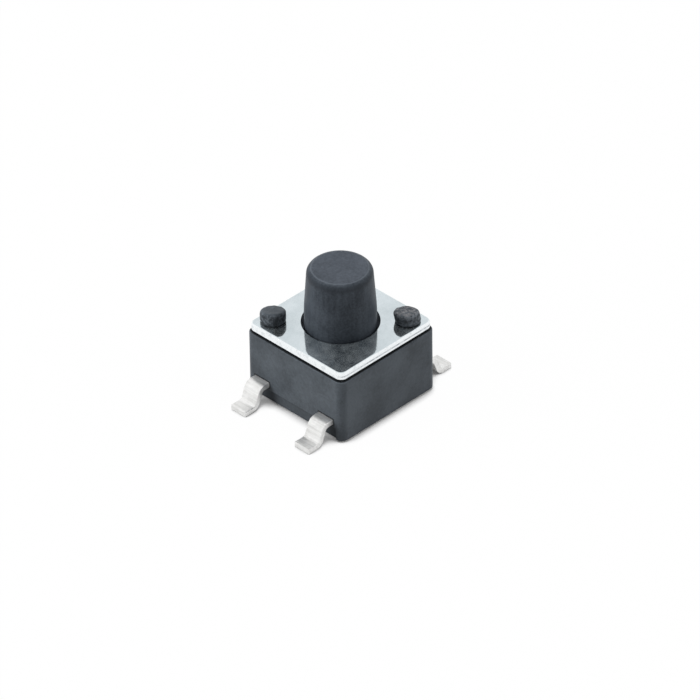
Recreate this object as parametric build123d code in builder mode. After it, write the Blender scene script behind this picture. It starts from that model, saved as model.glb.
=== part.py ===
import os

from build123d import *

# All lengths are in millimetres and all heights are measured from the board that the feet stand on.

# Housing, the moulded base
housing_side = 4.5
housing_corner_radius = 0.3
housing_edge_radius = 0.06
housing_wall = 0.5
board_standoff = 0.04
cover_seat_height = 2.49
cover_land_setback = 0.22
cover_land_rise = 0.06
cover_land_corner_radius = 0.2

# Terminals, two strips of plated sheet that cross the housing and end in gull-wing feet
terminal_thickness = 0.2
terminal_width = 0.68
terminal_setback = 0.75
terminal_rise = 0.63
terminal_shoulder = 0.37
terminal_leg_run = 0.24
terminal_foot_length = 0.54
terminal_bend_radius = 0.25
contact_tongue_width = 0.7
centre_contact_radius = 0.45
centre_contact_rise = 0.05
rim_contact_radius = 0.2

# Step in the housing's faces below the strips, and holes under the contacts
lead_recess_depth = 0.07
lead_recess_height = 0.49
lead_recess_margin = 0.13
frame_pin_hole_radius = 0.25

# Snap dome, the sprung steel disc under the plunger
dome_ledge = 0.2
dome_side_clearance = 0.05
dome_pocket_depth = 0.3
dome_rim_width = 0.1
dome_thickness = 0.07
press_travel = 0.25

# Floor of the cavity, a skin of plastic over the terminal strips
floor_skin = 0.05

# Plunger, the round stem that is pressed
overall_height = 5.0
stem_setback = 1.025
stem_guide_length = 0.55
stem_taper = 0.115
stem_edge_radius = 0.24
stem_clearance = 0.11
flange_side_clearance = 0.15
flange_thickness = 0.45
flange_chamfer = 0.05
boss_step = 0.6
nub_radius = 0.45
nub_length = 0.25
nub_chamfer = 0.06
nub_clearance = 0.02

# Cover plate, punched from sheet and held down by two staked posts of the housing
cover_inset = 0.065
cover_thickness = 0.31
cover_corner_radius = 0.26
cover_upper_edge_radius = 0.08
cover_lower_edge_radius = 0.07
post_setback = 0.655
post_radius = 0.3
post_clearance = 0.02
post_head_radius = 0.44
post_head_height = 0.31
post_head_edge_radius = 0.12
post_head_lip_chamfer = 0.1

# Length by which a cut runs past the face that it opens
cut_overrun = 0.5

# Places in plan that follow from the sizes above: what lies inside is set back from the housing's sides
well_radius = housing_side / 2 - housing_wall
pocket_radius = well_radius - dome_ledge
dome_radius = pocket_radius - dome_side_clearance
rim_contact_offset = dome_radius - dome_rim_width / 2
stem_radius = housing_side / 2 - stem_setback
stem_top_radius = stem_radius - stem_taper
flange_radius = well_radius - flange_side_clearance
boss_radius = flange_radius - boss_step
post_offset = housing_side / 2 - post_setback
post_places = [(-post_offset, post_offset), (post_offset, -post_offset)]
terminal_pitch = housing_side - 2 * terminal_setback
lead_recess_width = terminal_pitch + terminal_width + 2 * lead_recess_margin
lead_upper_bend = housing_side / 2 + terminal_shoulder
lead_lower_bend = lead_upper_bend + terminal_leg_run
lead_tip = lead_lower_bend + terminal_foot_length

# Heights that follow
foot_middle_height = terminal_thickness / 2
strip_middle_height = terminal_rise + terminal_thickness / 2
terminal_top = terminal_rise + terminal_thickness
floor_height = terminal_top + floor_skin
dome_inner_height = centre_contact_rise + press_travel
dome_top = floor_height + dome_inner_height + dome_thickness
nub_bottom = dome_top + nub_clearance
rim_height = cover_seat_height - cover_land_rise
cover_top = cover_seat_height + cover_thickness

# Lead strip: foot, leg, run through the housing, leg and foot, bent from one blank over the whole span
with BuildPart() as lead_strip:
    with BuildLine(Plane.XZ):
        FilletPolyline(
            (-lead_tip, foot_middle_height),
            (-lead_lower_bend, foot_middle_height),
            (-lead_upper_bend, strip_middle_height),
            (lead_upper_bend, strip_middle_height),
            (lead_lower_bend, foot_middle_height),
            (lead_tip, foot_middle_height),
            radius=terminal_bend_radius,
        )
    with BuildSketch(Plane.YZ.offset(-lead_tip)):
        with Locations((0, foot_middle_height)):
            Rectangle(terminal_width, terminal_thickness)
    sweep()

# Terminal of the centre contact: a tongue runs from its strip to the button under the dome
with BuildPart() as centre_contact_terminal:
    with Locations((0, -terminal_pitch / 2, 0)):
        add(lead_strip.part)
    with BuildSketch(Plane.XY.offset(terminal_rise)):
        with Locations((0, -terminal_pitch / 4)):
            Rectangle(contact_tongue_width, terminal_pitch / 2)
        Circle(centre_contact_radius)
    extrude(amount=terminal_thickness)
    with BuildSketch(Plane.XY.offset(terminal_top)):
        Circle(centre_contact_radius)
    extrude(amount=floor_skin + centre_contact_rise)

# Terminal of the dome: two arms run from its strip to the pads that the dome's rim stands on
with BuildPart() as dome_contact_terminal:
    with Locations((0, terminal_pitch / 2, 0)):
        add(lead_strip.part)
    with BuildSketch(Plane.XY.offset(terminal_rise)):
        with GridLocations(2 * rim_contact_offset, 0, 2, 1):
            with Locations((0, terminal_pitch / 4)):
                Rectangle(2 * rim_contact_radius, terminal_pitch / 2)
            Circle(rim_contact_radius)
    extrude(amount=terminal_thickness)
    with BuildSketch(Plane.XY.offset(terminal_top)):
        with GridLocations(2 * rim_contact_offset, 0, 2, 1):
            Circle(rim_contact_radius)
    extrude(amount=floor_skin)

# Housing: a rounded block with a stepped round cavity, moulded round both terminals
with BuildPart() as housing:
    with BuildSketch(Plane.XY.offset(board_standoff)):
        RectangleRounded(housing_side, housing_side, housing_corner_radius)
    extrude(amount=rim_height - board_standoff)
    rims = housing.edges().group_by(Axis.Z)
    fillet(rims[0] + rims[-1], radius=housing_edge_radius)

    # Land that carries the cover, so that a narrow gap is left round its edge
    land_side = housing_side - 2 * cover_land_setback
    with BuildSketch(Plane.XY.offset(rim_height)):
        RectangleRounded(land_side, land_side, cover_land_corner_radius)
    extrude(amount=cover_land_rise)

    # Cavity: a pocket that centres the dome, and above it the well of the plunger's flange
    with BuildSketch(Plane.XY.offset(floor_height)):
        Circle(pocket_radius)
    extrude(amount=cover_seat_height - floor_height + cut_overrun, mode=Mode.SUBTRACT)
    with BuildSketch(Plane.XY.offset(floor_height + dome_pocket_depth)):
        Circle(well_radius)
    extrude(amount=cover_seat_height - floor_height + cut_overrun, mode=Mode.SUBTRACT)

    # The faces with leads stand back below the strips, between the corners
    with BuildSketch(Plane.XZ):
        with Locations((0, (lead_recess_height + board_standoff - cut_overrun) / 2)):
            with GridLocations(housing_side - lead_recess_depth + cut_overrun, 0, 2, 1):
                Rectangle(lead_recess_depth + cut_overrun, lead_recess_height - board_standoff + cut_overrun)
    extrude(amount=lead_recess_width / 2, both=True, mode=Mode.SUBTRACT)

    # Holes left by the pins that hold the strips while the housing is moulded
    with BuildSketch(Plane.XY.offset(terminal_rise)):
        with GridLocations(rim_contact_offset, 0, 3, 1):
            Circle(frame_pin_hole_radius)
    extrude(amount=-(terminal_rise - board_standoff + cut_overrun), mode=Mode.SUBTRACT)

    # Posts: shanks through the cover, and heads that are staked down on it
    with BuildSketch(Plane.XY.offset(cover_seat_height)):
        with Locations(*post_places):
            Circle(post_radius)
    extrude(amount=cover_thickness)
    with BuildSketch(Plane.XY.offset(cover_top)):
        with Locations(*post_places):
            Circle(post_head_radius)
    extrude(amount=post_head_height)
    rounds = housing.edges().filter_by(GeomType.CIRCLE).group_by(Axis.Z)
    fillet(rounds[-1], radius=post_head_edge_radius)
    lips = rounds[-2].filter_by(lambda edge: edge.radius > post_radius)
    chamfer(lips, length=post_head_lip_chamfer)

    # The strips stay in the moulding, so it is hollow exactly where they lie
    add(centre_contact_terminal.part, mode=Mode.SUBTRACT)
    add(dome_contact_terminal.part, mode=Mode.SUBTRACT)

# Snap dome: a shallow cap with a flat rim, sprung from thin sheet
with BuildPart() as snap_dome:
    dome_bow = dome_radius - dome_rim_width
    with BuildSketch(Plane.XZ):
        with BuildLine():
            lower = SagittaArc((-dome_bow, floor_height), (dome_bow, floor_height), dome_inner_height)
            upper = SagittaArc(
                (-dome_bow, floor_height + dome_thickness),
                (dome_bow, floor_height + dome_thickness),
                dome_inner_height,
            )
            Polyline(
                lower @ 1,
                (dome_radius, floor_height),
                (dome_radius, floor_height + dome_thickness),
                upper @ 1,
            )
            Polyline(
                lower @ 0,
                (-dome_radius, floor_height),
                (-dome_radius, floor_height + dome_thickness),
                upper @ 0,
            )
        make_face()
        split(bisect_by=Plane.YZ)
    revolve(axis=Axis.Z)

# Cover plate: a rounded square with the plunger's bore and a hole for each post
with BuildPart() as cover_plate:
    cover_side = housing_side - 2 * cover_inset
    with BuildSketch(Plane.XY.offset(cover_seat_height)):
        RectangleRounded(cover_side, cover_side, cover_corner_radius)
    extrude(amount=cover_thickness)
    rims = cover_plate.edges().group_by(Axis.Z)
    fillet(rims[-1], radius=cover_upper_edge_radius)
    fillet(rims[0], radius=cover_lower_edge_radius)
    with Locations((0, 0, cover_top)):
        Hole(stem_radius + stem_clearance)
    with Locations(*[(x, y, cover_top) for x, y in post_places]):
        Hole(post_radius + post_clearance)

# Plunger: stem, flange that the cover holds in, and a boss with the nub that bears on the dome
with BuildPart() as plunger:
    boss_bottom = nub_bottom + nub_length
    flange_bottom = cover_seat_height - flange_thickness
    with BuildSketch(Plane.XZ):
        with BuildLine():
            Polyline(
                (0, nub_bottom),
                (nub_radius, nub_bottom),
                (nub_radius, boss_bottom),
                (boss_radius, boss_bottom),
                (boss_radius, flange_bottom),
                (flange_radius, flange_bottom),
                (flange_radius, cover_seat_height),
                (stem_radius, cover_seat_height),
                (stem_radius, cover_top + stem_guide_length),
                (stem_top_radius, overall_height),
                (0, overall_height),
                close=True,
            )
        make_face()
    revolve(axis=Axis.Z)
    rounds = plunger.edges().filter_by(GeomType.CIRCLE)
    fillet(rounds.sort_by(Axis.Z)[-1], radius=stem_edge_radius)
    chamfer(rounds.sort_by(Axis.Z)[0], length=nub_chamfer)
    chamfer(rounds.group_by(SortBy.RADIUS)[-1], length=flange_chamfer)

os.makedirs("parts", exist_ok=True)

housing.part.label = "housing"
cover_plate.part.label = "cover_plate"
plunger.part.label = "plunger"
snap_dome.part.label = "snap_dome"
centre_contact_terminal.part.label = "centre_contact_terminal"
dome_contact_terminal.part.label = "dome_contact_terminal"

export_step(housing.part, "parts/housing.step")
export_step(cover_plate.part, "parts/cover_plate.step")
export_step(plunger.part, "parts/plunger.step")
export_step(snap_dome.part, "parts/snap_dome.step")
export_step(centre_contact_terminal.part, "parts/centre_contact_terminal.step")
export_step(dome_contact_terminal.part, "parts/dome_contact_terminal.step")
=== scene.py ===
import math

import bmesh
import bpy
from mathutils import Matrix, Vector, noise


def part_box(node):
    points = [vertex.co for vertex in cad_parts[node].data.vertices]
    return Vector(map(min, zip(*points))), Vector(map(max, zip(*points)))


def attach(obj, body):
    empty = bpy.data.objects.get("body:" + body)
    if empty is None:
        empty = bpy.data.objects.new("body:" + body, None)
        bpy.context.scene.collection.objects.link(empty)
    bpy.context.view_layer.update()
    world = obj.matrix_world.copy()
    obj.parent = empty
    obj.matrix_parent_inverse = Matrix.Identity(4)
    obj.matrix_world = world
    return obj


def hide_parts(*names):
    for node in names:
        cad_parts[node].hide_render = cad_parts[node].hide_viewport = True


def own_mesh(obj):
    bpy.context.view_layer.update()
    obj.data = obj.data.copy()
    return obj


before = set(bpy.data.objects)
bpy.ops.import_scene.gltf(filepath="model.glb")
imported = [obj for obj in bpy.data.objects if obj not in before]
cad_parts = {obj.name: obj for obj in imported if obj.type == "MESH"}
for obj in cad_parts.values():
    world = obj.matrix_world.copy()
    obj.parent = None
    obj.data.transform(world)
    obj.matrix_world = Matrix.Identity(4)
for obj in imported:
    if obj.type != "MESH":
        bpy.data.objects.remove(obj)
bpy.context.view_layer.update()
mm = 0.001  # pieces are modelled in millimetres and scaled to metres when they are finished
print("frame loaded:", len(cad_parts), "nodes")

# heights that several pieces share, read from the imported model
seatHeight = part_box("cover_plate")[0].z / mm  # top of the housing, where the cover lies
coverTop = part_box("cover_plate")[1].z / mm
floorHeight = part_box("snap_dome")[0].z / mm  # floor of the cavity, where the dome lies

overlap = 0.0005  # mm, two places closer than this are the same
flatAngle = math.radians(1)  # faces that meet at less than this are one flat
sharpAngle = math.radians(40)  # edges sharper than this stay crisp
nylonIor = 1.53  # refractive index
noiseSpan = (0.3, 0.7)  # most of a noise texture's values lie between these
softLine = [(0.0, 0.0), (1.0, 0.0), (0.5, 1.0)]  # ramp of a line that is strongest in its middle


def linear(hexColour):
    channels = [int(hexColour[i:i + 2], 16) / 255 for i in (1, 3, 5)]
    return [c / 12.92 if c <= 0.04045 else ((c + 0.055) / 1.055) ** 2.4 for c in channels] + [1.0]


def perMetre(size):  # texture scale for a pattern of this size in millimetres
    return 1 / (size * mm)


def addNode(tree, kind, inputs={}, ramp=(), **settings):
    node = tree.nodes.new(kind)
    for name, value in settings.items():
        setattr(node, name, value)
    for name, value in inputs.items():
        if isinstance(value, bpy.types.NodeSocket):
            tree.links.new(value, node.inputs[name])
        else:
            node.inputs[name].default_value = value
    for i, (place, colour) in enumerate(ramp):
        stops = node.color_ramp.elements
        stop = stops[i] if i < 2 else stops.new(place)
        stop.position = place
        stop.color = linear(colour) if isinstance(colour, str) else [colour] * 3 + [1.0]
    return node


def emptyMaterial(name):
    material = bpy.data.materials.new(name)
    material.use_nodes = True
    material.node_tree.nodes.clear()
    return material, material.node_tree


# Glass-filled nylon, moulded in a spark-eroded tool: a satin blue-black with a fine even grain, slightly
# paler on its edges. The staked heads are torn into pale streaks and dark pits, with painted highlights on
# their rims and lips; painted shade darkens their sides, the step below the leads, the gap under the cover
# and a line round each lead.
housingLook = dict(
    dark="#383d42", pale="#4d5359", tones=(0.38, 0.62), grainShare=0.4,
    # the pale edge colour serves worn edges and the painted head highlights; the pit colour also paints
    # shade on the head sides; the last colour is that of all painted shade
    staked="#7d7d80", pitAndShade="#23272b", edge="#5e656c", shadeColour="#14171a",
    roughness=(0.46, 0.58), specular=0.16,
    cloud=1.3, grain=0.085, grainDepth=0.006,  # mm, the grain is drawn coarser than the real 0.03 mm
    tear=0.12, tearDepth=0.02,  # mm, marks of the staking punch
    streaks=[(0.44, 0.0), (0.60, 0.9)],  # ramps on the tear pattern
    hollows=[(0.40, 0.9), (0.55, 0.0)],
    flecks=[(0.53, 0.0), (0.62, 0.75)],
    wear=[(0.58, 0.0), (0.68, 0.6)],  # ramp on how sharp an edge is
    lipHighlightFrom=0.05, lipHighlightTo=0.14,  # mm above the cover, a pale painted highlight along the lip of a staked head
    gapFrom=2.46, gapFade=0.008, gapWander=0.006,  # mm, height below which the gap under the cover is painted dark as shade
    stepTop=0.53, stepFace=2.2, stepHalf=1.97,  # mm, the face below the leads
    stepLine=0.38, stepShade=0.2, stepFade=(0.02, 0.15, 0.3),  # painted shade under the step, with a darker line at its top that fades downwards
    leadShadowAt=(1.5, 0.73), leadShadowHalf=(0.38, 0.15),  # mm, painted shade in a dark line round each lead
    leadShadowStrength=0.9,
)


def housingNylon(look):
    material, tree = emptyMaterial("glass-filled nylon, spark-eroded satin")
    place = addNode(tree, "ShaderNodeTexCoord").outputs["Object"]
    cloud = addNode(tree, "ShaderNodeTexNoise", {
        "Vector": place, "Scale": perMetre(look["cloud"]), "Detail": 3.0, "Roughness": 0.55})
    grain = addNode(tree, "ShaderNodeTexNoise", {
        "Vector": place, "Scale": perMetre(look["grain"]), "Detail": 4.0, "Roughness": 0.6})
    tear = addNode(tree, "ShaderNodeTexNoise", {
        "Vector": place, "Scale": perMetre(look["tear"]), "Detail": 4.0, "Roughness": 0.6,
        "Distortion": 0.3})
    tone = addNode(tree, "ShaderNodeMix", {
        0: look["grainShare"], 2: cloud.outputs["Fac"], 3: grain.outputs["Fac"]}, data_type="FLOAT")
    body = addNode(tree, "ShaderNodeValToRGB", {"Fac": tone.outputs[0]},
                   ramp=zip(look["tones"], (look["dark"], look["pale"])))
    height = addNode(tree, "ShaderNodeSeparateXYZ", {"Vector": place})
    above = addNode(tree, "ShaderNodeMath", {0: height.outputs["Z"], 1: coverTop * mm},
                    operation="GREATER_THAN")  # only the staked heads stand above the cover
    form = addNode(tree, "ShaderNodeNewGeometry")
    facing = addNode(tree, "ShaderNodeSeparateXYZ", {"Vector": form.outputs["Normal"]})
    level = addNode(tree, "ShaderNodeMath", {0: above.outputs[0], 1: facing.outputs["Z"]},
                    operation="MULTIPLY", use_clamp=True)  # the tops, which the punch struck
    rightSide = addNode(tree, "ShaderNodeMapRange", {
        "Value": height.outputs["X"], "From Min": -mm, "From Max": mm})  # 0 left, 1 right
    struck = addNode(tree, "ShaderNodeMath", {0: level.outputs[0], 1: rightSide.outputs["Result"]},
                     operation="MULTIPLY")  # only the right one is torn on top
    streaks = addNode(tree, "ShaderNodeValToRGB", {"Fac": tear.outputs["Fac"]}, ramp=look["streaks"])
    mottle = addNode(tree, "ShaderNodeMath", {0: struck.outputs[0], 1: streaks.outputs["Color"]},
                     operation="MULTIPLY")
    hollows = addNode(tree, "ShaderNodeValToRGB", {"Fac": tear.outputs["Fac"]}, ramp=look["hollows"])
    upright = addNode(tree, "ShaderNodeMath", {0: above.outputs[0], 1: facing.outputs["Z"]},
                      operation="SUBTRACT", use_clamp=True)  # their sides
    # dark pits on the heads' sides, spread wide enough that they also paint shade over the sides
    sidePitsAndShade = addNode(tree, "ShaderNodeMath", {0: upright.outputs[0], 1: hollows.outputs["Color"]},
                   operation="MULTIPLY")
    pittedAndShaded = addNode(tree, "ShaderNodeMix", {
        0: sidePitsAndShade.outputs[0], 6: body.outputs["Color"], 7: linear(look["pitAndShade"])}, data_type="RGBA")
    staked = addNode(tree, "ShaderNodeMix", {
        0: mottle.outputs[0], 6: pittedAndShaded.outputs[2], 7: linear(look["staked"])}, data_type="RGBA")
    # painted highlight: pale lines along each head's lip and along the rounding of its top, broken up by
    # the tear pattern
    lip = addNode(tree, "ShaderNodeMapRange", {
        "Value": height.outputs["Z"], "From Min": (coverTop + look["lipHighlightFrom"]) * mm,
        "From Max": (coverTop + look["lipHighlightTo"]) * mm})
    lipHighlight = addNode(tree, "ShaderNodeValToRGB", {"Fac": lip.outputs["Result"]}, ramp=softLine)
    bend = addNode(tree, "ShaderNodeMapRange", {
        "Value": facing.outputs["Z"], "From Min": 0.25, "From Max": 0.95})
    rimFacingHighlight = addNode(tree, "ShaderNodeValToRGB", {"Fac": bend.outputs["Result"]}, ramp=softLine)
    headRimHighlight = addNode(tree, "ShaderNodeMath", {0: rimFacingHighlight.outputs["Color"], 1: above.outputs[0]},
                       operation="MULTIPLY")  # painted highlight on the rounding round a head's top
    headHighlights = addNode(tree, "ShaderNodeMath", {0: lipHighlight.outputs["Color"], 1: headRimHighlight.outputs[0]},
                        operation="MAXIMUM")
    flecks = addNode(tree, "ShaderNodeValToRGB", {"Fac": tear.outputs["Fac"]}, ramp=look["flecks"])
    scuffs = addNode(tree, "ShaderNodeMath", {0: upright.outputs[0], 1: flecks.outputs["Color"]},
                     operation="MULTIPLY")  # pale flecks on the sides
    brokenHighlights = addNode(tree, "ShaderNodeMath", {0: headHighlights.outputs[0], 1: streaks.outputs["Color"]},
                       operation="MULTIPLY")
    highlightsAndFlecks = addNode(tree, "ShaderNodeMath", {0: brokenHighlights.outputs[0], 1: scuffs.outputs[0]},
                       operation="MAXIMUM")
    wearAndHighlight = addNode(tree, "ShaderNodeValToRGB", {"Fac": form.outputs["Pointiness"]}, ramp=look["wear"])
    bodyWear = addNode(tree, "ShaderNodeMath", {0: wearAndHighlight.outputs["Color"], 1: above.outputs[0]},
                       operation="SUBTRACT", use_clamp=True)
    # real edge wear on the body, with painted highlights and pale flecks on the heads
    pale = addNode(tree, "ShaderNodeMath", {0: bodyWear.outputs[0], 1: highlightsAndFlecks.outputs[0]},
                   operation="MAXIMUM")
    edged = addNode(tree, "ShaderNodeMix", {
        0: pale.outputs[0], 6: staked.outputs[2], 7: linear(look["edge"])}, data_type="RGBA")
    # painted shade: a near-black band on the housing just below the cover stands in for the shadow in the
    # gap; its top edge wanders with the tear noise
    wander = addNode(tree, "ShaderNodeMapRange", {
        "Value": tear.outputs["Fac"], "From Min": 0.35, "From Max": 0.65,
        "To Max": look["gapWander"] * mm})
    raggedGapHeight = addNode(tree, "ShaderNodeMath", {0: height.outputs["Z"], 1: wander.outputs["Result"]},
                    operation="ADD")
    rim = addNode(tree, "ShaderNodeMapRange", {
        "Value": raggedGapHeight.outputs[0], "From Min": (look["gapFrom"] - look["gapFade"]) * mm,
        "From Max": look["gapFrom"] * mm})
    gapShade = addNode(tree, "ShaderNodeMath", {0: rim.outputs["Result"], 1: above.outputs[0]},
                  operation="SUBTRACT", use_clamp=True)
    # painted shade: the face below the step, between the corners, is coloured darker as if shadowed by the
    # overhang, darkest just under its top
    down = addNode(tree, "ShaderNodeMapRange", {
        "Value": height.outputs["Z"], "From Min": look["stepTop"] * mm, "From Max": 0.0})
    lineTop, lineEnd, faded = look["stepFade"]
    shade = addNode(tree, "ShaderNodeValToRGB", {"Fac": down.outputs["Result"]}, ramp=[
        (0.0, 0.0), (1.0, look["stepShade"]), (lineTop, look["stepLine"]), (lineEnd, look["stepLine"]),
        (faded, look["stepShade"])])
    across = addNode(tree, "ShaderNodeMath", {0: height.outputs["X"]}, operation="ABSOLUTE")
    along = addNode(tree, "ShaderNodeMath", {0: height.outputs["Y"]}, operation="ABSOLUTE")
    back = addNode(tree, "ShaderNodeMath", {0: across.outputs[0], 1: look["stepFace"] * mm},
                   operation="LESS_THAN")
    between = addNode(tree, "ShaderNodeMath", {0: along.outputs[0], 1: look["stepHalf"] * mm},
                      operation="LESS_THAN")
    onStep = addNode(tree, "ShaderNodeMath", {0: back.outputs[0], 1: between.outputs[0]},
                     operation="MULTIPLY")
    step = addNode(tree, "ShaderNodeMath", {0: shade.outputs["Color"], 1: onStep.outputs[0]},
                   operation="MULTIPLY")
    # painted shade: a dark band round where each lead leaves the housing stands in for its contact shadow
    besideLead = addNode(tree, "ShaderNodeMath", {
        0: along.outputs[0], 1: look["leadShadowAt"][0] * mm, 2: look["leadShadowHalf"][0] * mm},
        operation="COMPARE")
    levelWithLead = addNode(tree, "ShaderNodeMath", {
        0: height.outputs["Z"], 1: look["leadShadowAt"][1] * mm, 2: look["leadShadowHalf"][1] * mm},
        operation="COMPARE")
    leadShadowLine = addNode(tree, "ShaderNodeMath", {0: besideLead.outputs[0], 1: levelWithLead.outputs[0]},
                   operation="MULTIPLY")
    leadShadowTone = addNode(tree, "ShaderNodeMath", {0: leadShadowLine.outputs[0], 1: look["leadShadowStrength"]},
                       operation="MULTIPLY")
    nearLeads = addNode(tree, "ShaderNodeMath", {0: step.outputs[0], 1: leadShadowTone.outputs[0]},
                        operation="MAXIMUM")
    # painted shade from the gap, the step and the lines round the leads, mixed in with one dark colour
    dark = addNode(tree, "ShaderNodeMath", {0: gapShade.outputs[0], 1: nearLeads.outputs[0]},
                   operation="MAXIMUM")
    colour = addNode(tree, "ShaderNodeMix", {
        0: dark.outputs[0], 6: edged.outputs[2], 7: linear(look["shadeColour"])}, data_type="RGBA")
    rough = addNode(tree, "ShaderNodeMapRange", {
        "Value": grain.outputs["Fac"], "From Min": noiseSpan[0], "From Max": noiseSpan[1],
        "To Min": look["roughness"][0], "To Max": look["roughness"][1]})
    fine = addNode(tree, "ShaderNodeBump", {
        "Height": grain.outputs["Fac"], "Strength": 1.0, "Distance": look["grainDepth"] * mm})
    torn = addNode(tree, "ShaderNodeBump", {
        "Height": mottle.outputs[0], "Strength": 1.0, "Distance": look["tearDepth"] * mm,
        "Normal": fine.outputs["Normal"]})
    shader = addNode(tree, "ShaderNodeBsdfPrincipled", {
        "Base Color": colour.outputs[2], "Roughness": rough.outputs["Result"],
        "Specular IOR Level": look["specular"], "IOR": nylonIor, "Normal": torn.outputs["Normal"]})
    addNode(tree, "ShaderNodeOutputMaterial", {"Surface": shader.outputs[0]})
    return material


# Nylon of the stem, moulded in a finer tool: deeper black than the base, smooth satin sides with faint
# draw lines. Its end is painted paler as lit from above, with a thin painted highlight where the end meets
# its rounding and painted shade on the rounding below.
plungerLook = dict(
    dark="#2a2f35", pale="#40464d", tones=(0.40, 0.60),
    grainShare=0.4, drawShare=0.35, drawStretch=0.08,
    end=("#3b4047", "#484d55"), litEndStrength=0.6, roughness=(0.42, 0.54), specular=0.12,
    cloud=0.9, grain=0.075, grainDepth=0.004,  # mm, the grain is drawn coarser than the real 0.02 mm
    draw=0.12,  # mm between draw lines
    roundingShadeColour="#23272c", roundingFrom=4.66, roundingTo=4.96,  # mm, heights of the rounding, painted darker as shade
    roundingShade=[(0.0, 0.0), (1.0, 0.0), (0.45, 0.6), (0.8, 0.6)],
    rim="#676d75", rimRadius=0.967, rimWidth=0.042, rimFrom=4.9,  # mm, radius, width and height of a painted highlight ring on the rounding
    rimHighlight=[(0.0, 0.0), (1.0, 0.0), (0.5, 0.36)],
)


def plungerNylon(look):
    material, tree = emptyMaterial("nylon, moulded satin black")
    place = addNode(tree, "ShaderNodeTexCoord").outputs["Object"]
    cloud = addNode(tree, "ShaderNodeTexNoise", {
        "Vector": place, "Scale": perMetre(look["cloud"]), "Detail": 3.0, "Roughness": 0.55})
    grain = addNode(tree, "ShaderNodeTexNoise", {
        "Vector": place, "Scale": perMetre(look["grain"]), "Detail": 4.0, "Roughness": 0.6})
    upright = addNode(tree, "ShaderNodeMapping", {
        "Vector": place, "Scale": (1.0, 1.0, look["drawStretch"])})
    draw = addNode(tree, "ShaderNodeTexNoise", {
        "Vector": upright.outputs["Vector"], "Scale": perMetre(look["draw"]), "Detail": 2.0,
        "Roughness": 0.5})
    lined = addNode(tree, "ShaderNodeMix", {
        0: look["drawShare"], 2: cloud.outputs["Fac"], 3: draw.outputs["Fac"]}, data_type="FLOAT")
    tone = addNode(tree, "ShaderNodeMix", {
        0: look["grainShare"], 2: lined.outputs[0], 3: grain.outputs["Fac"]}, data_type="FLOAT")
    body = addNode(tree, "ShaderNodeValToRGB", {"Fac": tone.outputs[0]},
                   ramp=zip(look["tones"], (look["dark"], look["pale"])))
    flat = addNode(tree, "ShaderNodeMapping", {"Vector": place, "Scale": (1.0, 1.0, 0.0)})
    radius = addNode(tree, "ShaderNodeVectorMath", {0: flat.outputs["Vector"]}, operation="LENGTH")
    # painted highlight: a thin pale ring on the rounding just outside the flat end
    band = addNode(tree, "ShaderNodeMapRange", {
        "Value": radius.outputs["Value"], "From Min": (look["rimRadius"] - look["rimWidth"]) * mm,
        "From Max": (look["rimRadius"] + look["rimWidth"]) * mm})
    line = addNode(tree, "ShaderNodeValToRGB", {"Fac": band.outputs["Result"]}, ramp=look["rimHighlight"])
    height = addNode(tree, "ShaderNodeSeparateXYZ", {"Vector": place})
    above = addNode(tree, "ShaderNodeMath", {0: height.outputs["Z"], 1: look["rimFrom"] * mm},
                    operation="GREATER_THAN")
    wearAndHighlight = addNode(tree, "ShaderNodeMath", {0: above.outputs[0], 1: line.outputs["Color"]},
                   operation="MULTIPLY")
    form = addNode(tree, "ShaderNodeNewGeometry")
    facing = addNode(tree, "ShaderNodeSeparateXYZ", {"Vector": form.outputs["Normal"]})
    # painted light: the flat end is coloured paler where it faces up, as it catches the light from above
    litEnd = addNode(tree, "ShaderNodeMapRange", {
        "Value": facing.outputs["Z"], "From Min": 0.9, "From Max": 1.0, "To Max": look["litEndStrength"]})
    # painted shade: the rounding below the end is coloured darker, as it faces away from the light
    bend = addNode(tree, "ShaderNodeMapRange", {
        "Value": height.outputs["Z"], "From Min": look["roundingFrom"] * mm,
        "From Max": look["roundingTo"] * mm})
    roundingShadeMask = addNode(tree, "ShaderNodeValToRGB", {"Fac": bend.outputs["Result"]},
                     ramp=look["roundingShade"])
    sides = addNode(tree, "ShaderNodeMix", {
        0: roundingShadeMask.outputs["Color"], 6: body.outputs["Color"], 7: linear(look["roundingShadeColour"])},
        data_type="RGBA")
    end = addNode(tree, "ShaderNodeValToRGB", {"Fac": tone.outputs[0]},
                  ramp=zip(look["tones"], look["end"]))
    skin = addNode(tree, "ShaderNodeMix", {
        0: litEnd.outputs["Result"], 6: sides.outputs[2], 7: end.outputs["Color"]}, data_type="RGBA")
    colour = addNode(tree, "ShaderNodeMix", {
        0: wearAndHighlight.outputs[0], 6: skin.outputs[2], 7: linear(look["rim"])}, data_type="RGBA")
    rough = addNode(tree, "ShaderNodeMapRange", {
        "Value": grain.outputs["Fac"], "From Min": noiseSpan[0], "From Max": noiseSpan[1],
        "To Min": look["roughness"][0], "To Max": look["roughness"][1]})
    fine = addNode(tree, "ShaderNodeBump", {
        "Height": grain.outputs["Fac"], "Strength": 1.0, "Distance": look["grainDepth"] * mm})
    shader = addNode(tree, "ShaderNodeBsdfPrincipled", {
        "Base Color": colour.outputs[2], "Roughness": rough.outputs["Result"],
        "Specular IOR Level": look["specular"], "IOR": nylonIor, "Normal": fine.outputs["Normal"]})
    addNode(tree, "ShaderNodeOutputMaterial", {"Surface": shader.outputs[0]})
    return material


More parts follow.
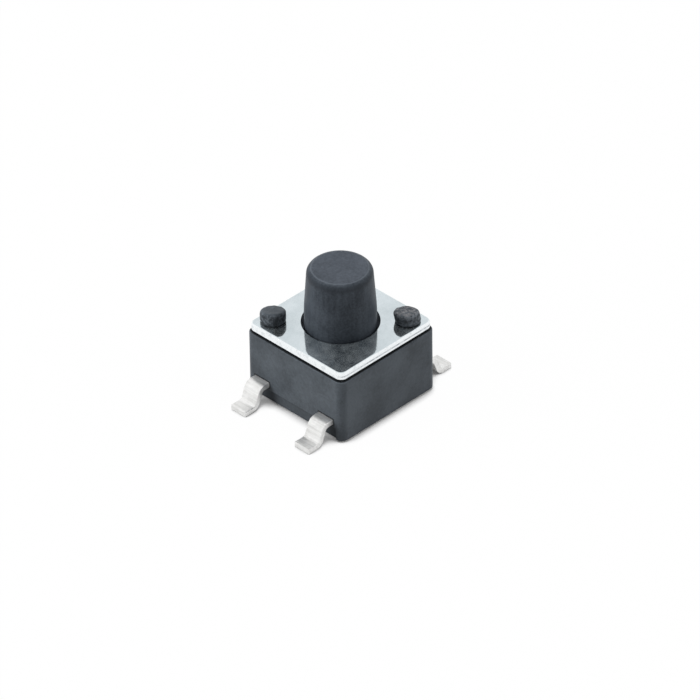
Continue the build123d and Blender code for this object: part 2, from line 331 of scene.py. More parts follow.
# Stainless strip, bright rolled: a near mirror that shows the stem and posts, with faint rolling lines
# along X, a few duller smears and a thin film of punching oil that veils the dark reflections.
coverLook = dict(
    bright="#d4dde1", dull="#c6d0d4", tones=(0.35, 0.6), roughness=(0.05, 0.10),
    smear=1.1, smudge=0.3,  # mm
    haze=(0.91, 0.99), film=0.5, filmRoughness=0.55, lineStretch=0.03,
    line=0.09, lineDepth=0.0004,  # mm, rolling lines, drawn coarser than the real 0.02 mm
    # the sheared edges are paler, which also paints the bright reflection along the cover's edge band
    edge=("#dfe4e7", "#f2f6f8"), edgeTones=(0.34, 0.50),
    chip=0.14,  # mm, chips on the sheared edge
    torn="#83898e", sideReflectionFrom=0.19, sideReflectionTo=0.10,  # mm below the top, a painted dark reflection along the sides that face ±Y
    sideReflectionLine=[(0.0, 0.0), (1.0, 0.0), (0.4, 0.9), (0.6, 0.9)],
)


def rolledStainless(look):
    material, tree = emptyMaterial("stainless steel, bright rolled")
    place = addNode(tree, "ShaderNodeTexCoord").outputs["Object"]
    smear = addNode(tree, "ShaderNodeTexNoise", {
        "Vector": place, "Scale": perMetre(look["smear"]), "Detail": 4.0, "Roughness": 0.6})
    rolled = addNode(tree, "ShaderNodeMapping", {
        "Vector": place, "Scale": (look["lineStretch"], 1.0, 1.0)})
    lines = addNode(tree, "ShaderNodeTexNoise", {
        "Vector": rolled.outputs["Vector"], "Scale": perMetre(look["line"]), "Detail": 3.0,
        "Roughness": 0.7})
    colour = addNode(tree, "ShaderNodeValToRGB", {"Fac": smear.outputs["Fac"]},
                     ramp=zip(look["tones"], (look["dull"], look["bright"])))
    form = addNode(tree, "ShaderNodeNewGeometry")
    facing = addNode(tree, "ShaderNodeSeparateXYZ", {"Vector": form.outputs["True Normal"]})
    away = addNode(tree, "ShaderNodeMapRange", {
        "Value": facing.outputs["Z"], "From Min": 0.98, "From Max": 0.8})  # off the flat top
    chip = addNode(tree, "ShaderNodeTexNoise", {
        "Vector": place, "Scale": perMetre(look["chip"]), "Detail": 2.0, "Roughness": 0.6})
    edge = addNode(tree, "ShaderNodeValToRGB", {"Fac": chip.outputs["Fac"]},
                   ramp=zip(look["edgeTones"], look["edge"]))
    # paler sheared edges and painted highlight: the fillets and sides take the brighter edge colour
    paleEdgesAndGlint = addNode(tree, "ShaderNodeMix", {
        0: away.outputs["Result"], 6: colour.outputs["Color"], 7: edge.outputs["Color"]},
        data_type="RGBA")
    height = addNode(tree, "ShaderNodeSeparateXYZ", {"Vector": place})
    # painted reflection: a ragged darker line along the middle of the sides facing ±Y stands in for the
    # shadowed floor they mirror
    depth = addNode(tree, "ShaderNodeMapRange", {
        "Value": height.outputs["Z"], "From Min": (coverTop - look["sideReflectionFrom"]) * mm,
        "From Max": (coverTop - look["sideReflectionTo"]) * mm})
    line = addNode(tree, "ShaderNodeValToRGB", {"Fac": depth.outputs["Result"]}, ramp=look["sideReflectionLine"])
    facingAlongY = addNode(tree, "ShaderNodeMath", {0: facing.outputs["Y"], 1: facing.outputs["Y"]},
                      operation="MULTIPLY")
    broken = addNode(tree, "ShaderNodeMapRange", {
        "Value": chip.outputs["Fac"], "From Min": 0.38, "From Max": 0.58, "To Min": 0.25})
    ragged = addNode(tree, "ShaderNodeMath", {0: line.outputs["Color"], 1: broken.outputs["Result"]},
                     operation="MULTIPLY")
    tear = addNode(tree, "ShaderNodeMath", {0: ragged.outputs[0], 1: facingAlongY.outputs[0]},
                   operation="MULTIPLY")
    withSideReflection = addNode(tree, "ShaderNodeMix", {
        0: tear.outputs[0], 6: paleEdgesAndGlint.outputs[2], 7: linear(look["torn"])}, data_type="RGBA")
    smudge = addNode(tree, "ShaderNodeTexNoise", {
        "Vector": place, "Scale": perMetre(look["smudge"]), "Detail": 4.0, "Roughness": 0.65})
    haze = addNode(tree, "ShaderNodeMapRange", {
        "Value": smudge.outputs["Fac"], "From Min": 0.32, "From Max": 0.68,
        "To Min": look["haze"][0], "To Max": look["haze"][1]})
    rough = addNode(tree, "ShaderNodeMapRange", {
        "Value": smear.outputs["Fac"], "From Min": noiseSpan[0], "From Max": noiseSpan[1],
        "To Min": look["roughness"][1], "To Max": look["roughness"][0]})
    bump = addNode(tree, "ShaderNodeBump", {
        "Height": lines.outputs["Fac"], "Strength": 1.0, "Distance": look["lineDepth"] * mm})
    shader = addNode(tree, "ShaderNodeBsdfPrincipled", {
        "Base Color": withSideReflection.outputs[2], "Metallic": haze.outputs["Result"],
        "Roughness": rough.outputs["Result"], "Coat Weight": look["film"],
        "Coat Roughness": look["filmRoughness"], "Normal": bump.outputs["Normal"]})
    addNode(tree, "ShaderNodeOutputMaterial", {"Surface": shader.outputs[0]})
    return material


# Brass strip with a bright silvery plate: pale satin metal, with fine streaks across the lead where the
# bending tool dragged over it and small dull spots.
terminalLook = dict(
    bright="#ededec", dull="#d2d2d0", tones=(0.36, 0.58), roughness=(0.38, 0.52), metallic=0.85,
    streakShare=0.6, streakStretch=0.06,
    streak=0.09, streakDepth=0.004, spot=0.35,  # mm
)


def platedBrass(look):
    material, tree = emptyMaterial("brass, bright silver plate")
    place = addNode(tree, "ShaderNodeTexCoord").outputs["Object"]
    dragged = addNode(tree, "ShaderNodeMapping", {
        "Vector": place, "Scale": (1.0, look["streakStretch"], 1.0)})
    streak = addNode(tree, "ShaderNodeTexNoise", {
        "Vector": dragged.outputs["Vector"], "Scale": perMetre(look["streak"]), "Detail": 3.0,
        "Roughness": 0.65})
    spot = addNode(tree, "ShaderNodeTexNoise", {
        "Vector": place, "Scale": perMetre(look["spot"]), "Detail": 4.0, "Roughness": 0.6})
    marks = addNode(tree, "ShaderNodeMix", {
        0: look["streakShare"], 2: spot.outputs["Fac"], 3: streak.outputs["Fac"]}, data_type="FLOAT")
    colour = addNode(tree, "ShaderNodeValToRGB", {"Fac": marks.outputs[0]},
                     ramp=zip(look["tones"], (look["dull"], look["bright"])))
    rough = addNode(tree, "ShaderNodeMapRange", {
        "Value": streak.outputs["Fac"], "From Min": noiseSpan[0], "From Max": noiseSpan[1],
        "To Min": look["roughness"][0], "To Max": look["roughness"][1]})
    bump = addNode(tree, "ShaderNodeBump", {
        "Height": streak.outputs["Fac"], "Strength": 1.0, "Distance": look["streakDepth"] * mm})
    shader = addNode(tree, "ShaderNodeBsdfPrincipled", {
        "Base Color": colour.outputs["Color"], "Metallic": look["metallic"],
        "Roughness": rough.outputs["Result"], "Normal": bump.outputs["Normal"]})
    addNode(tree, "ShaderNodeOutputMaterial", {"Surface": shader.outputs[0]})
    return material


# Spring-hard stainless foil, pressed to a dome: grey satin metal with a fine cross grain.
domeLook = dict(
    bright="#c9c9c4", dull="#b3b3ae", tones=(0.35, 0.65), roughness=(0.22, 0.32), lineStretch=0.04,
    line=0.05, lineDepth=0.0015,  # mm
)


def springSteel(look):
    material, tree = emptyMaterial("stainless foil, sprung satin")
    place = addNode(tree, "ShaderNodeTexCoord").outputs["Object"]
    drawn = addNode(tree, "ShaderNodeMapping", {
        "Vector": place, "Scale": (1.0, look["lineStretch"], 1.0)})
    lines = addNode(tree, "ShaderNodeTexNoise", {
        "Vector": drawn.outputs["Vector"], "Scale": perMetre(look["line"]), "Detail": 3.0,
        "Roughness": 0.7})
    colour = addNode(tree, "ShaderNodeValToRGB", {"Fac": lines.outputs["Fac"]},
                     ramp=zip(look["tones"], (look["dull"], look["bright"])))
    rough = addNode(tree, "ShaderNodeMapRange", {
        "Value": lines.outputs["Fac"], "From Min": noiseSpan[0], "From Max": noiseSpan[1],
        "To Min": look["roughness"][0], "To Max": look["roughness"][1]})
    bump = addNode(tree, "ShaderNodeBump", {
        "Height": lines.outputs["Fac"], "Strength": 1.0, "Distance": look["lineDepth"] * mm})
    shader = addNode(tree, "ShaderNodeBsdfPrincipled", {
        "Base Color": colour.outputs["Color"], "Metallic": 1.0, "Roughness": rough.outputs["Result"],
        "Normal": bump.outputs["Normal"]})
    addNode(tree, "ShaderNodeOutputMaterial", {"Surface": shader.outputs[0]})
    return material


housingMaterial = housingNylon(housingLook)
plungerMaterial = plungerNylon(plungerLook)
coverMaterial = rolledStainless(coverLook)
terminalMaterial = platedBrass(terminalLook)
domeMaterial = springSteel(domeLook)
print("materials made")


def facesOf(geometry):
    return [g for g in geometry if isinstance(g, bmesh.types.BMFace)]


def edgesOf(geometry):
    return [g for g in geometry if isinstance(g, bmesh.types.BMEdge)]


def vertsOf(geometry):
    return [g for g in geometry if isinstance(g, bmesh.types.BMVert)]


def roundedSquare(bm, side, radius, height, steps):
    made = bmesh.ops.create_grid(bm, x_segments=1, y_segments=1, size=side / 2,
                                 matrix=Matrix.Translation((0, 0, height)))
    bmesh.ops.bevel(bm, geom=made["verts"], offset=radius, segments=steps, profile=0.5,
                    affect="VERTICES", material=-1)


def region(faces):  # faces with their edges and corners, so that extruding leaves no face behind inside
    edges = dict.fromkeys(e for f in faces for e in f.edges)
    corners = dict.fromkeys(v for f in faces for v in f.verts)
    return faces + list(edges) + list(corners)


def pull(bm, faces, move):  # extrudes faces and returns the moved ones
    made = bmesh.ops.extrude_face_region(bm, geom=region(faces))["geom"]
    bmesh.ops.translate(bm, vec=move, verts=vertsOf(made))
    return facesOf(made)


def roundEdges(bm, edges, width, steps):
    bmesh.ops.bevel(bm, geom=edges, offset=width, segments=steps, profile=0.5,
                    affect="EDGES", material=-1)


def levelEdges(bm, height):
    return [e for e in bm.edges if all(abs(v.co.z - height) < overlap for v in e.verts)]


def levelFaces(bm, height):
    return [f for f in bm.faces if all(abs(v.co.z - height) < overlap for v in f.verts)]


def ringEdges(bm, radius, height, centre=(0, 0)):
    middle = Vector(centre)
    return [e for e in levelEdges(bm, height)
            if all(abs((v.co.xy - middle).length - radius) < overlap for v in e.verts)]


def openFlat(bm, height, holes, steps):  # swaps the flat face at this height for one with round holes
    bmesh.ops.delete(bm, geom=levelFaces(bm, height), context="FACES")
    rim = [e for e in levelEdges(bm, height) if e.is_boundary]
    for radius, centre in holes:
        bmesh.ops.create_circle(bm, cap_ends=False, segments=steps, radius=radius,
                                matrix=Matrix.Translation((*centre, height)))
        rim += ringEdges(bm, radius, height, centre)
    bmesh.ops.triangle_fill(bm, edges=rim, use_beauty=True, normal=(0, 0, 1))


def turnedWall(bm, ring, centre, outline):  # carries a ring of edges along (radius, height) steps
    shift = Matrix.Translation((-centre[0], -centre[1], 0))
    for radius, height in outline:
        made = bmesh.ops.extrude_edge_only(bm, edges=ring)["geom"]
        corners = vertsOf(made)
        ring = [e for e in edgesOf(made) if all(v in corners for v in e.verts)]
        grow = radius / (corners[0].co.xy - Vector(centre)).length
        bmesh.ops.scale(bm, vec=(grow, grow, 1), space=shift, verts=corners)
        bmesh.ops.translate(bm, vec=(0, 0, height - corners[0].co.z), verts=corners)
    return ring


def turned(outline, steps):  # full turn of a half outline round the Z axis
    bm = bmesh.new()
    points = [bm.verts.new((radius, 0, height)) for radius, height in outline]
    for a, b in zip(points, points[1:]):
        bm.edges.new((a, b))
    bmesh.ops.spin(bm, geom=bm.verts[:] + bm.edges[:], cent=(0, 0, 0), axis=(0, 0, 1),
                   angle=math.tau, steps=steps, use_merge=True)
    bmesh.ops.remove_doubles(bm, verts=bm.verts[:], dist=overlap)
    bmesh.ops.recalc_face_normals(bm, faces=bm.faces[:])
    return bm


def finishPiece(bm, name, node, body, material):
    bmesh.ops.remove_doubles(bm, verts=bm.verts[:], dist=overlap)
    bmesh.ops.recalc_face_normals(bm, faces=bm.faces[:])
    bmesh.ops.scale(bm, vec=(mm, mm, mm), verts=bm.verts[:])
    mesh = bpy.data.meshes.new(name)
    bm.to_mesh(mesh)
    openEdges = sum(1 for e in bm.edges if not e.is_manifold)
    bm.free()
    mesh.materials.append(material)
    mesh.shade_smooth()
    mesh.set_sharp_from_angle(angle=sharpAngle)
    piece = bpy.data.objects.new(name, mesh)
    bpy.context.scene.collection.objects.link(piece)
    weighted = piece.modifiers.new("flat faces stay flat", "WEIGHTED_NORMAL")
    weighted.keep_sharp = True
    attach(piece, body)
    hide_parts(node)
    print(name, "finished:", len(mesh.polygons), "faces,", openEdges, "open edges")
    return piece


# housing, the moulded base
housing = dict(
    corner=0.3, cornerSteps=10, edge=0.06, edgeSteps=5,
    rimDrop=0.03, rimWidth=0.22,  # the rim stands lower than the land that carries the cover
    recessDepth=0.07, recessHalf=housingLook["stepHalf"], recessTop=housingLook["stepTop"],
    well=1.75, domeSeat=1.55, domeSeatDepth=0.3, steps=96,
    pinPitch=1.45, pinHole=0.25, pinDepth=0.59, pinSteps=48,
    shank=0.3, head=0.44, lip=0.1, headEdge=0.12,
    capRings=4, capStep=0.06, lump=0.16, lumpDepth=0.016,  # mm, swellings left by staking
    posts=[  # place, then the head's height, slope, shift and lean, as each came out of staking
        ((-1.595, 1.595), 0.43, (-0.145, -0.145), (0.045, 0.045), (0, 0)),
        ((1.595, -1.595), 0.42, (-0.125, -0.125), (-0.04, -0.04), (-0.05, 0.05)),
    ],
)


def buildHousing(h):
    low, high = (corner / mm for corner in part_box("housing"))
    half = high.x
    rimTop = seatHeight - h["rimDrop"]
    bm = bmesh.new()
    roundedSquare(bm, 2 * half, h["corner"], h["recessTop"], h["cornerSteps"])
    for y in (-h["recessHalf"], h["recessHalf"]):
        bmesh.ops.bisect_plane(bm, geom=bm.verts[:] + bm.edges[:] + bm.faces[:],
                               plane_co=(0, y, 0), plane_no=(0, 1, 0))
    for x in (h["recessDepth"] - half, half - h["recessDepth"]):
        band = max((f for f in bm.faces if abs(f.calc_center_median().y) < h["recessHalf"]),
                   key=lambda f: f.calc_area())
        bmesh.ops.bisect_plane(bm, geom=[band] + band.edges[:] + band.verts[:],
                               plane_co=(x, 0, 0), plane_no=(1, 0, 0))

    def standsBack(face):
        middle = face.calc_center_median()
        return half - abs(middle.x) < h["recessDepth"] and abs(middle.y) < h["recessHalf"]

    pull(bm, bm.faces[:], (0, 0, rimTop - h["recessTop"]))
    under = [f for f in levelFaces(bm, h["recessTop"]) if not standsBack(f)]
    pull(bm, under, (0, 0, low.z - h["recessTop"]))
    bmesh.ops.recalc_face_normals(bm, faces=bm.faces[:])
    bmesh.ops.dissolve_limit(bm, angle_limit=flatAngle, verts=bm.verts[:], edges=bm.edges[:])
    rims = [e for z in (low.z, rimTop) for e in levelEdges(bm, z)]
    roundEdges(bm, rims, h["edge"], h["edgeSteps"])
    land = levelFaces(bm, rimTop)
    bmesh.ops.inset_region(bm, faces=land, thickness=h["rimWidth"] - h["edge"], use_even_offset=True)
    bmesh.ops.inset_region(bm, faces=land, thickness=h["rimDrop"] / 2, depth=h["rimDrop"],
                           use_even_offset=True)

    pins = [(x, 0) for x in (-h["pinPitch"], 0, h["pinPitch"])]
    shanks = [(h["shank"], post[0]) for post in h["posts"]]
    openFlat(bm, seatHeight, [(h["well"], (0, 0))] + shanks, h["steps"])
    openFlat(bm, low.z, [(h["pinHole"], place) for place in pins], h["pinSteps"])
    domeSeatTop = floorHeight + h["domeSeatDepth"]
    cavity = turnedWall(bm, ringEdges(bm, h["well"], seatHeight), (0, 0), [
        (h["well"], domeSeatTop), (h["domeSeat"], domeSeatTop), (h["domeSeat"], floorHeight)])
    bmesh.ops.edgeloop_fill(bm, edges=cavity)
    for place in pins:
        hole = turnedWall(bm, ringEdges(bm, h["pinHole"], low.z, place), place, [
            (h["pinHole"], low.z + h["pinDepth"])])
        bmesh.ops.edgeloop_fill(bm, edges=hole)
    for place, headHeight, *bent in h["posts"]:
        stakeHead(bm, h, Vector(place), headHeight, *(Vector(b) for b in bent))
    finishPiece(bm, "mouldedHousing", "housing", "base", housingMaterial)


def stakeHead(bm, h, place, headHeight, slope, shift, lean):
    top = coverTop + headHeight
    waist = coverTop + (h["lip"] + headHeight - h["headEdge"]) / 2
    rim = turnedWall(bm, ringEdges(bm, h["shank"], seatHeight, place), place, [
        (h["shank"], coverTop), (h["head"], coverTop), (h["head"], waist), (h["head"], top)])
    bmesh.ops.edgeloop_fill(bm, edges=rim)
    roundEdges(bm, rim, h["headEdge"], h["edgeSteps"])
    roundEdges(bm, ringEdges(bm, h["head"], coverTop, place), h["lip"], h["edgeSteps"])
    cap = [f for f in levelFaces(bm, top) if (f.calc_center_median().xy - place).length < h["head"]]
    for ring in range(h["capRings"]):
        bmesh.ops.inset_region(bm, faces=cap, thickness=h["capStep"])
    bm.normal_update()
    exposed = [v for v in bm.verts if v.co.z > coverTop + overlap]
    for v in [v for v in exposed if (v.co.xy - place).length < 2 * h["head"]]:
        rise = (v.co.z - coverTop) / headHeight
        v.co += v.normal * noise.noise(v.co / h["lump"]) * h["lumpDepth"] * rise
        v.co.z += slope.dot(v.co.xy - place) * rise
        v.co.xy += shift + lean * rise


buildHousing(housing)


# cover plate, punched from sheet
cover = dict(
    corner=0.26, cornerSteps=14, upperEdge=0.08, lowerEdge=0.07, edgeSteps=6,
    bore=1.335, postHole=0.32, steps=128,
)


def buildCover(c):
    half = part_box("cover_plate")[1].x / mm
    bm = bmesh.new()
    roundedSquare(bm, 2 * half, c["corner"], seatHeight, c["cornerSteps"])
    pull(bm, bm.faces[:], (0, 0, coverTop - seatHeight))
    roundEdges(bm, levelEdges(bm, coverTop), c["upperEdge"], c["edgeSteps"])
    roundEdges(bm, levelEdges(bm, seatHeight), c["lowerEdge"], c["edgeSteps"])
    holes = [(c["bore"], (0, 0))] + [(c["postHole"], place) for place, *_ in housing["posts"]]
    for height in (seatHeight, coverTop):
        openFlat(bm, height, holes, c["steps"])
    for radius, place in holes:
        ends = ringEdges(bm, radius, seatHeight, place) + ringEdges(bm, radius, coverTop, place)
        bmesh.ops.bridge_loops(bm, edges=ends)
    finishPiece(bm, "steelCover", "cover_plate", "base", coverMaterial)


buildCover(cover)


# plunger, the round stem that is pressed
plunger = dict(
    stem=1.225, guideTop=3.35, stemTop=1.11, stemEdge=0.224, stemEdgeSteps=12, guideEdgeSteps=4,
    flangeThickness=0.45, flangeEdge=0.05, flangeEdgeSteps=3,
    boss=1.0, nub=0.45, nubLength=0.25, nubEdge=0.06, nubEdgeSteps=4, steps=160,
)


def buildPlunger(p):
    low, high = (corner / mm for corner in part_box("plunger"))
    bossBottom = low.z + p["nubLength"]
    flangeBottom = seatHeight - p["flangeThickness"]
    bm = turned([
        (0, low.z), (p["nub"], low.z), (p["nub"], bossBottom), (p["boss"], bossBottom),
        (p["boss"], flangeBottom), (high.x, flangeBottom), (high.x, seatHeight), (p["stem"], seatHeight),
        (p["stem"], p["guideTop"]), (p["stemTop"], high.z), (0, high.z)], p["steps"])
    poles = [v for v in bm.verts if v.co.xy.length < overlap]
    bmesh.ops.dissolve_verts(bm, verts=poles)  # each flat end in one face
    roundEdges(bm, ringEdges(bm, p["stemTop"], high.z), p["stemEdge"], p["stemEdgeSteps"])
    roundEdges(bm, ringEdges(bm, p["stem"], p["guideTop"]), p["stemEdge"], p["guideEdgeSteps"])
    flange = ringEdges(bm, high.x, flangeBottom) + ringEdges(bm, high.x, seatHeight)
    roundEdges(bm, flange, p["flangeEdge"], p["flangeEdgeSteps"])
    roundEdges(bm, ringEdges(bm, p["nub"], low.z), p["nubEdge"], p["nubEdgeSteps"])
    finishPiece(bm, "pressStem", "plunger", "button", plungerMaterial)


buildPlunger(plunger)


# snap dome, the sprung disc under the stem
dome = dict(rim=0.1, thickness=0.07, arcSteps=14, steps=96)


def buildDome(d):
    low, high = (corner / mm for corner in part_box("snap_dome"))
    rise = high.z - low.z - d["thickness"]
    bow = high.x - d["rim"]
    arcRadius = (bow ** 2 + rise ** 2) / (2 * rise)
    bm = bmesh.new()
    crown = bm.verts.new((0, 0, low.z + rise))
    bmesh.ops.spin(bm, geom=[crown], cent=(0, 0, crown.co.z - arcRadius), axis=(0, 1, 0),
                   angle=math.asin(bow / arcRadius), steps=d["arcSteps"])
    edge = max(bm.verts, key=lambda v: v.co.x)
    bm.edges.new((edge, bm.verts.new((high.x, 0, low.z))))
    bmesh.ops.spin(bm, geom=bm.verts[:] + bm.edges[:], cent=(0, 0, 0), axis=(0, 0, 1),
                   angle=math.tau, steps=d["steps"], use_merge=True)
    bmesh.ops.remove_doubles(bm, verts=bm.verts[:], dist=overlap)
    bmesh.ops.recalc_face_normals(bm, faces=bm.faces[:])
    pull(bm, bm.faces[:], (0, 0, d["thickness"]))
    piece = finishPiece(bm, "snapDome", "snap_dome", "base", domeMaterial)
    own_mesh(piece)


buildDome(dome)


# terminals, two strips that end in gull-wing feet
terminal = dict(
    thickness=0.2, width=0.68, pitch=3.0, under=0.63, shoulder=0.37, legRun=0.24, bend=0.25, bendSteps=10,
    edge=0.025, edgeSteps=3, edgeAngle=60,  # degrees, sharper edges than this are rounded
    tongue=0.7, button=0.45, armWidth=0.4, armPlace=1.45, pad=0.2, padSteps=48,
)


def leadStrip(t, y, stations):  # half of a strip from its foot to the middle, then its mirror image
    tip = -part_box("centre_contact_terminal")[0].x / mm
    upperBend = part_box("housing")[1].x / mm + t["shoulder"]
    turn = math.atan2(t["under"], t["legRun"])
    tangent = t["bend"] * math.tan(turn / 2)
    legLength = math.hypot(t["under"], t["legRun"]) - 2 * tangent
    footMiddle = t["thickness"] / 2
    stripMiddle = t["under"] + footMiddle
    bm = bmesh.new()
    upright = Matrix.Translation((-tip, y, footMiddle)) @ Matrix.Rotation(math.pi / 2, 4, "Y")
    made = bmesh.ops.create_grid(bm, x_segments=1, y_segments=1, size=0.5,
                                 matrix=upright @ Matrix.Diagonal((t["thickness"], t["width"], 1, 1)))
    end = made["verts"][0].link_faces[:]
    bendStart = -upperBend - t["legRun"] - tangent
    end = pull(bm, end, (bendStart + tip, 0, 0))
    end = bendUp(bm, end, (bendStart, y, footMiddle + t["bend"]), -turn, t["bendSteps"])
    end = pull(bm, end, (legLength * math.cos(turn), 0, legLength * math.sin(turn)))
    bendEnd = -upperBend + tangent
    end = bendUp(bm, end, (bendEnd, y, stripMiddle - t["bend"]), turn, t["bendSteps"])
    place = bendEnd
    for station in stations + [0]:
        end = pull(bm, end, (-station - place, 0, 0))
        place = -station
    bmesh.ops.delete(bm, geom=end, context="FACES")
    bmesh.ops.mirror(bm, geom=bm.verts[:] + bm.edges[:] + bm.faces[:], merge_dist=overlap, axis="X")
    bmesh.ops.remove_doubles(bm, verts=bm.verts[:], dist=overlap)
    bmesh.ops.recalc_face_normals(bm, faces=bm.faces[:])
    return bm


def bendUp(bm, faces, centre, angle, steps):
    made = bmesh.ops.spin(bm, geom=region(faces), cent=centre, axis=(0, 1, 0), angle=angle, steps=steps)
    return facesOf(made["geom_last"])


def sideFaces(bm, y, reach):  # the strip's side towards the middle of the switch, between two stations
    return [f for f in bm.faces if all(abs(v.co.y - y) < overlap for v in f.verts)
            and reach[0] - overlap < abs(f.calc_center_median().x) < reach[1] + overlap]


def contactButton(bm, t, radius, x, top):
    middle = (top + t["under"]) / 2
    bmesh.ops.create_cone(bm, cap_ends=True, segments=t["padSteps"], radius1=radius, radius2=radius,
                          depth=top - t["under"], matrix=Matrix.Translation((x, 0, middle)))


def buildTerminals(t):
    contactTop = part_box("centre_contact_terminal")[1].z / mm
    inner = (t["pitch"] - t["width"]) / 2
    bm = leadStrip(t, -t["pitch"] / 2, [t["tongue"] / 2])
    pull(bm, sideFaces(bm, -inner, (0, t["tongue"] / 2)), (0, inner, 0))
    contactButton(bm, t, t["button"], 0, contactTop)
    finishTerminal(bm, t, "centreTerminal", "centre_contact_terminal")

    outer, near = t["armPlace"] + t["armWidth"] / 2, t["armPlace"] - t["armWidth"] / 2
    bm = leadStrip(t, t["pitch"] / 2, [outer, near])
    for side in (-1, 1):
        arm = [f for f in sideFaces(bm, inner, (near, outer)) if f.calc_center_median().x * side > 0]
        pull(bm, arm, (0, -inner, 0))
        contactButton(bm, t, t["pad"], side * t["armPlace"], floorHeight)
    finishTerminal(bm, t, "domeTerminal", "dome_contact_terminal")


def finishTerminal(bm, t, name, node):
    bmesh.ops.recalc_face_normals(bm, faces=bm.faces[:])
    bmesh.ops.dissolve_limit(bm, angle_limit=flatAngle, verts=bm.verts[:], edges=bm.edges[:])
    sharp = math.radians(t["edgeAngle"])
    corners = [e for e in bm.edges if e.is_manifold and e.calc_face_angle() > sharp]
    roundEdges(bm, corners, t["edge"], t["edgeSteps"])
    finishPiece(bm, name, node, "base", terminalMaterial)


buildTerminals(terminal)


# camera, fitted to the photograph
view = dict(
    azimuth=-44.71, elevation=36.42, roll=-0.89, distance=263.94, lift=0.03,  # degrees and mm
    focalPixels=7864, imageSide=700, originPixel=(341.66, 387.53),
    sensor=36, clip=(10, 10000),  # mm
)


def placeCamera(v):
    azimuth, elevation, roll = (math.radians(v[key]) for key in ("azimuth", "elevation", "roll"))
    back = Vector((math.sin(azimuth) * math.cos(elevation), -math.cos(azimuth) * math.cos(elevation),
                   math.sin(elevation)))
    level = Vector((math.cos(azimuth), math.sin(azimuth), 0))
    upright = back.cross(level)
    right = math.cos(roll) * level + math.sin(roll) * upright
    up = math.cos(roll) * upright - math.sin(roll) * level
    origin = Vector((0, 0, v["lift"]))
    pixel = v["distance"] / v["focalPixels"]  # mm that one pixel covers at the switch
    centre = v["imageSide"] / 2
    sideways = (centre - v["originPixel"][0]) * pixel
    upwards = (v["originPixel"][1] - centre) * pixel
    target = origin + right * sideways + up * upwards
    eye = origin + back * v["distance"]
    toEye = (eye - target).normalized()
    side = up.cross(toEye).normalized()
    turn = Matrix((side, toEye.cross(side), toEye)).transposed()
    data = bpy.data.cameras.new("camera")
    data.sensor_width = v["sensor"]
    data.lens = v["sensor"] * v["focalPixels"] / v["imageSide"]
    data.clip_start, data.clip_end = (distance * mm for distance in v["clip"])
    camera = bpy.data.objects.new("camera", data)
    bpy.context.scene.collection.objects.link(camera)
    camera.matrix_world = Matrix.Translation(eye * mm) @ turn.to_4x4()
    bpy.context.scene.camera = camera


placeCamera(view)


# studio: pale floor, white surround and soft lights
studio = dict(
    floorSide=900, floorDrop=0.002,  # mm
    floorColour="#d0d0d0", floorBounce="#b4b4b4", surround="#ffffff", ambient=0.25,
    shadowReach=0.6,  # mm round the object in which its shadow stays
    shadowSamples=16, shadowEdge=(0.48, 0.74), floorLift=(0.08, 0.985),
    lights=[  # name, place in mm, side in mm, power in watts
        ("left key", (-140, 110, 90), 150, 0.48),
        ("right fill", (120, -130, 90), 150, 0.22),
        ("top", (0, 30, 200), 150, 0.26),
    ],
)


def seenRays(tree):  # 1 for what the camera, mirrors and glass see, 0 for what only lights the object
    rays = addNode(tree, "ShaderNodeLightPath")
    bright = addNode(tree, "ShaderNodeMath", {
        0: rays.outputs["Is Camera Ray"], 1: rays.outputs["Is Glossy Ray"]}, operation="MAXIMUM")
    clear = addNode(tree, "ShaderNodeMath", {
        0: bright.outputs[0], 1: rays.outputs["Is Transmission Ray"]}, operation="MAXIMUM")
    seen = addNode(tree, "ShaderNodeMath", {0: clear.outputs[0], 1: rays.outputs["Diffuse Depth"]},
                   operation="SUBTRACT", use_clamp=True)
    return seen.outputs[0]


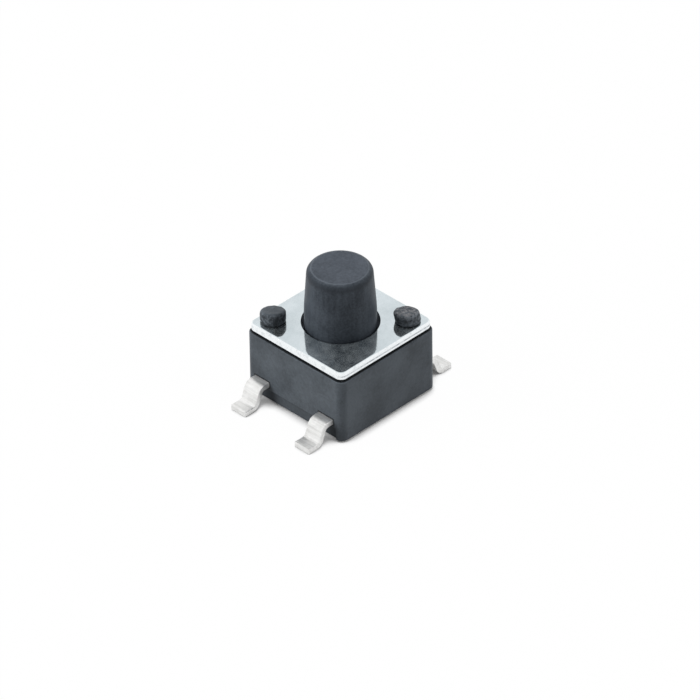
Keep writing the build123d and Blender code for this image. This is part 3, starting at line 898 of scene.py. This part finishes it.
def buildStudio(s):
    bm = bmesh.new()
    bmesh.ops.create_grid(bm, x_segments=1, y_segments=1, size=s["floorSide"] / 2,
                          matrix=Matrix.Translation((0, 0, -s["floorDrop"])))
    bmesh.ops.scale(bm, vec=(mm, mm, mm), verts=bm.verts[:])
    mesh = bpy.data.meshes.new("floor")
    bm.to_mesh(mesh)
    bm.free()
    material, tree = emptyMaterial("pale matt floor")
    seen = seenRays(tree)
    near = addNode(tree, "ShaderNodeAmbientOcclusion", {"Distance": s["shadowReach"] * mm},
                   samples=s["shadowSamples"])
    keep = addNode(tree, "ShaderNodeMapRange", {
        "Value": near.outputs["AO"], "From Min": s["shadowEdge"][0], "From Max": s["shadowEdge"][1],
        "To Min": s["floorLift"][0], "To Max": s["floorLift"][1]})
    lift = addNode(tree, "ShaderNodeMath", {0: seen, 1: keep.outputs["Result"]},
                   operation="MULTIPLY")  # thins the shadow away from the object
    tone = addNode(tree, "ShaderNodeMix", {
        0: seen, 6: linear(s["floorBounce"]), 7: linear(s["floorColour"])}, data_type="RGBA")
    matt = addNode(tree, "ShaderNodeBsdfDiffuse", {"Color": tone.outputs[2]})
    white = addNode(tree, "ShaderNodeEmission", {"Strength": 1.0})
    mixed = addNode(tree, "ShaderNodeMixShader", {
        0: lift.outputs[0], 1: matt.outputs[0], 2: white.outputs[0]})
    addNode(tree, "ShaderNodeOutputMaterial", {"Surface": mixed.outputs[0]})
    mesh.materials.append(material)
    floor = bpy.data.objects.new("floor", mesh)
    bpy.context.scene.collection.objects.link(floor)

    world = bpy.data.worlds.new("white surround")
    world.use_nodes = True
    tree = world.node_tree
    tree.nodes.clear()
    strength = addNode(tree, "ShaderNodeMapRange", {
        "Value": seenRays(tree), "To Min": s["ambient"], "To Max": 1.0})
    sky = addNode(tree, "ShaderNodeBackground", {
        "Color": linear(s["surround"]), "Strength": strength.outputs["Result"]})
    addNode(tree, "ShaderNodeOutputWorld", {"Surface": sky.outputs[0]})
    bpy.context.scene.world = world

    for name, place, side, power in s["lights"]:
        data = bpy.data.lights.new(name, "AREA")
        data.size = side * mm
        data.energy = power
        light = bpy.data.objects.new(name, data)
        bpy.context.scene.collection.objects.link(light)
        light.visible_glossy = False  # the metal shows the white surround and no hard patches
        light.location = Vector(place) * mm
        light.rotation_euler = Vector(place).to_track_quat("Z", "Y").to_euler()


buildStudio(studio)
bpy.context.scene.view_settings.view_transform = "Standard"
print("camera and studio placed")
